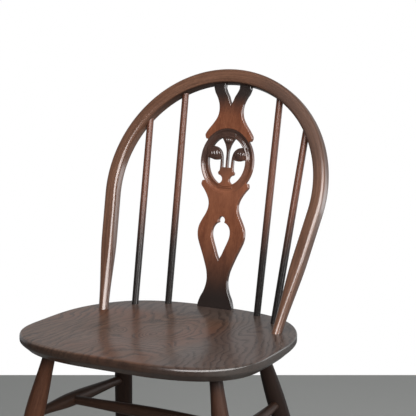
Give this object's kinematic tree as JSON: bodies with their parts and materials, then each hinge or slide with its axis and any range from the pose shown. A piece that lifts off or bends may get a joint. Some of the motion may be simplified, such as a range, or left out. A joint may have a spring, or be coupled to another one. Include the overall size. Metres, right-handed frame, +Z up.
{
  "type": "thistle back chair",
  "caption": "Hoop-back dining chair with a bent bow, plain spindles, a fretted and carved splat, a dished solid seat and splayed turned legs tied by an H of stretchers.",
  "frame": {"origin": "on the floor, under the middle of the chair", "axes": "+Z up; -Y the front, towards which a sitter faces; +X the right side as seen from the front"},
  "size_m": [0.5146, 0.4554, 0.8548],
  "materials": {
    "seat_wood": "satin",
    "bow_wood": "satin",
    "splat_wood": "satin",
    "spindle_wood": "satin",
    "leg_wood": "satin",
    "stretcher_wood": "satin",
    "wedge_wood": "satin"
  },
  "bodies": {
    "root": {"seat": "seat_wood", "bow": "bow_wood", "splat": "splat_wood", "spindle_outer_left": "spindle_wood", "spindle_inner_left": "spindle_wood", "spindle_inner_right": "spindle_wood", "spindle_outer_right": "spindle_wood", "leg_front_left": "leg_wood", "leg_front_right": "leg_wood", "leg_rear_left": "leg_wood", "leg_rear_right": "leg_wood", "side_stretcher_left": "stretcher_wood", "side_stretcher_right": "stretcher_wood", "cross_stretcher": "stretcher_wood", "bow_wedges": "wedge_wood"}
  },
  "joints": []
}
